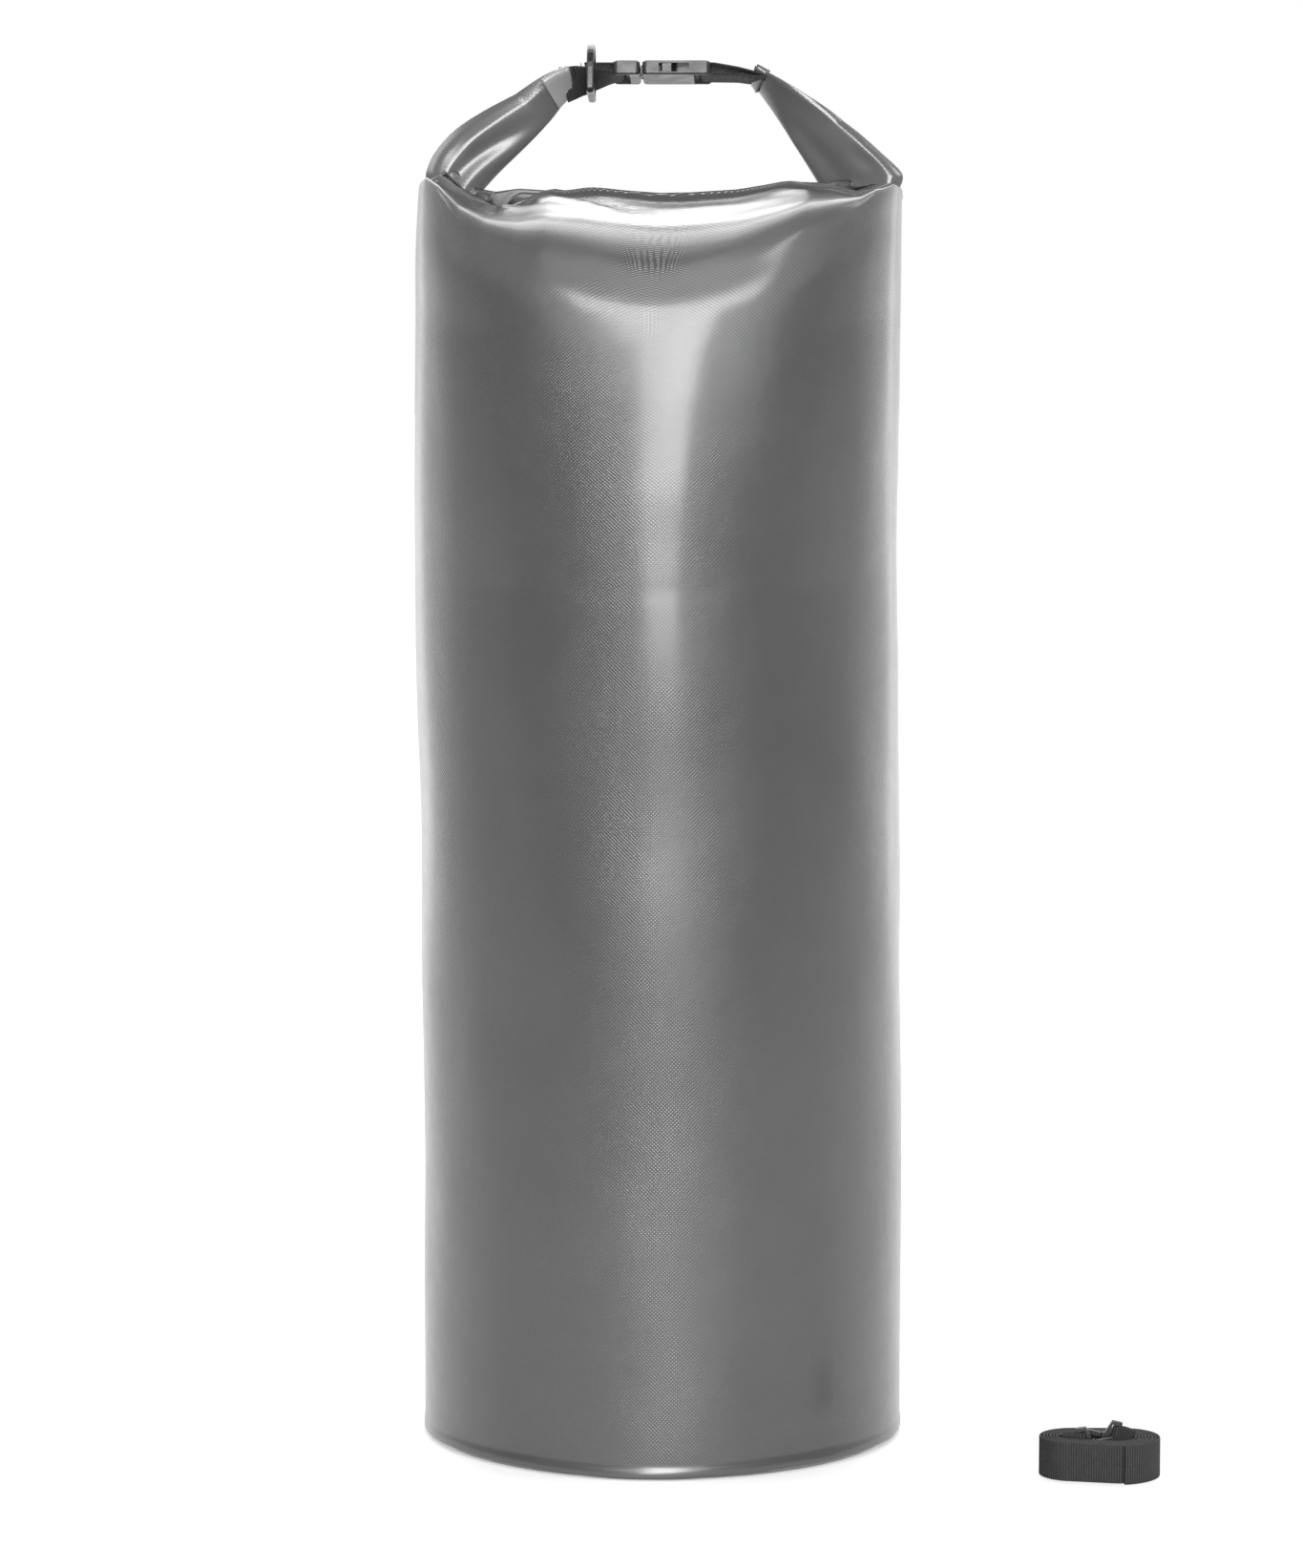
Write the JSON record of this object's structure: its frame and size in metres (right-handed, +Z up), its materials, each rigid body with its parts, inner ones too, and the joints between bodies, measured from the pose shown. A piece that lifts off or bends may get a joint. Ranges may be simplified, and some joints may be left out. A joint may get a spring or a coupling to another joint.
{
  "type": "roll-top storage bag",
  "caption": "Tall round roll-top dry bag for rope, its rolled mouth clipped into a carry loop by a side-release buckle, with a coiled shoulder strap.",
  "frame": {"origin": "centre of the base disc's underside, on the floor", "axes": "+Z up along the tube, front of the bag faces -Y, +X to the right seen from the front"},
  "size_m": [0.4733, 0.3276, 0.8974],
  "materials": {
    "coated_fabric": "glossy coated plain weave",
    "light_fabric": "satin coated fabric",
    "webbing": "ribbed polypropylene webbing",
    "black_plastic": "moulded acetal, satin",
    "stiffener": "flat extruded strip"
  },
  "bodies": {
    "bag": {"bag_tube": "coated_fabric", "base_disc": "coated_fabric", "rolled_mouth": "coated_fabric", "roll_stiffener": "stiffener", "rear_patch": "coated_fabric", "rear_webbing": "webbing"},
    "carry_loop": {"ear_left": "coated_fabric", "ear_right": "coated_fabric", "tab_left": "light_fabric", "tab_right": "light_fabric", "webbing_left": "webbing", "webbing_right": "webbing", "buckle_male": "black_plastic"},
    "buckle_half": {"buckle_female": "black_plastic"},
    "latch_front": {"latch_arm_front": "black_plastic"},
    "latch_rear": {"latch_arm_rear": "black_plastic"},
    "closure_ring": {"closure_d_ring": "black_plastic"},
    "rear_ring": {"rear_d_ring": "black_plastic"},
    "shoulder_strap": {"strap_webbing": "webbing", "strap_hook_a": "black_plastic", "strap_hook_b": "black_plastic"},
    "gate_a": {"strap_gate_a": "black_plastic"},
    "gate_b": {"strap_gate_b": "black_plastic"}
  },
  "joints": [
    {"name": "carry_loop_tilt", "type": "hinge", "parent": "bag", "child": "carry_loop", "pos_m": [0, -0.00562, 0.807], "axis": [1, 0, 0], "range_deg": [-60, 75]},
    {"name": "buckle_release", "type": "slide", "parent": "carry_loop", "child": "buckle_half", "axis": [1, 0, 0], "range_m": [0, 0.024], "deforming": ["webbing_right", "latch_arm_front", "latch_arm_rear"]},
    {"name": "latch_front_squeeze", "type": "hinge", "parent": "carry_loop", "child": "latch_front", "pos_m": [-0.0142, 0.00293, 0.88141], "axis": [0, 0.2164, 0.9763], "range_deg": [0, 8], "stiffness_Nm_per_rad": 0.05},
    {"name": "latch_rear_squeeze", "type": "hinge", "parent": "carry_loop", "child": "latch_rear", "pos_m": [-0.0142, 0.01807, 0.87806], "axis": [0, -0.2164, -0.9763], "range_deg": [0, 8], "stiffness_Nm_per_rad": 0.05},
    {"name": "closure_ring_tilt", "type": "hinge", "parent": "carry_loop", "child": "closure_ring", "pos_m": [-0.046, 0.00747, 0.86607], "axis": [0, 0.9763, -0.2164], "range_deg": [-45, 10]},
    {"name": "rear_ring_swing", "type": "hinge", "parent": "bag", "child": "rear_ring", "pos_m": [0, 0.1622, 0.105], "axis": [1, 0, 0], "range_deg": [0, 150]},
    {"name": "strap_lift_off", "type": "slide", "parent": "bag", "child": "shoulder_strap", "axis": [0, 0, 1], "range_m": [0, 0.3]},
    {"name": "gate_a_open", "type": "hinge", "parent": "shoulder_strap", "child": "gate_a", "pos_m": [0.28032, -0.12136, 0.02497], "axis": [-0.0013, -1, 0], "range_deg": [0, 22], "stiffness_Nm_per_rad": 0.01},
    {"name": "gate_b_open", "type": "hinge", "parent": "shoulder_strap", "child": "gate_b", "pos_m": [0.2783, -0.13064, 0.022], "axis": [0.0012, 1, 0], "range_deg": [0, 22], "stiffness_Nm_per_rad": 0.01}
  ]
}
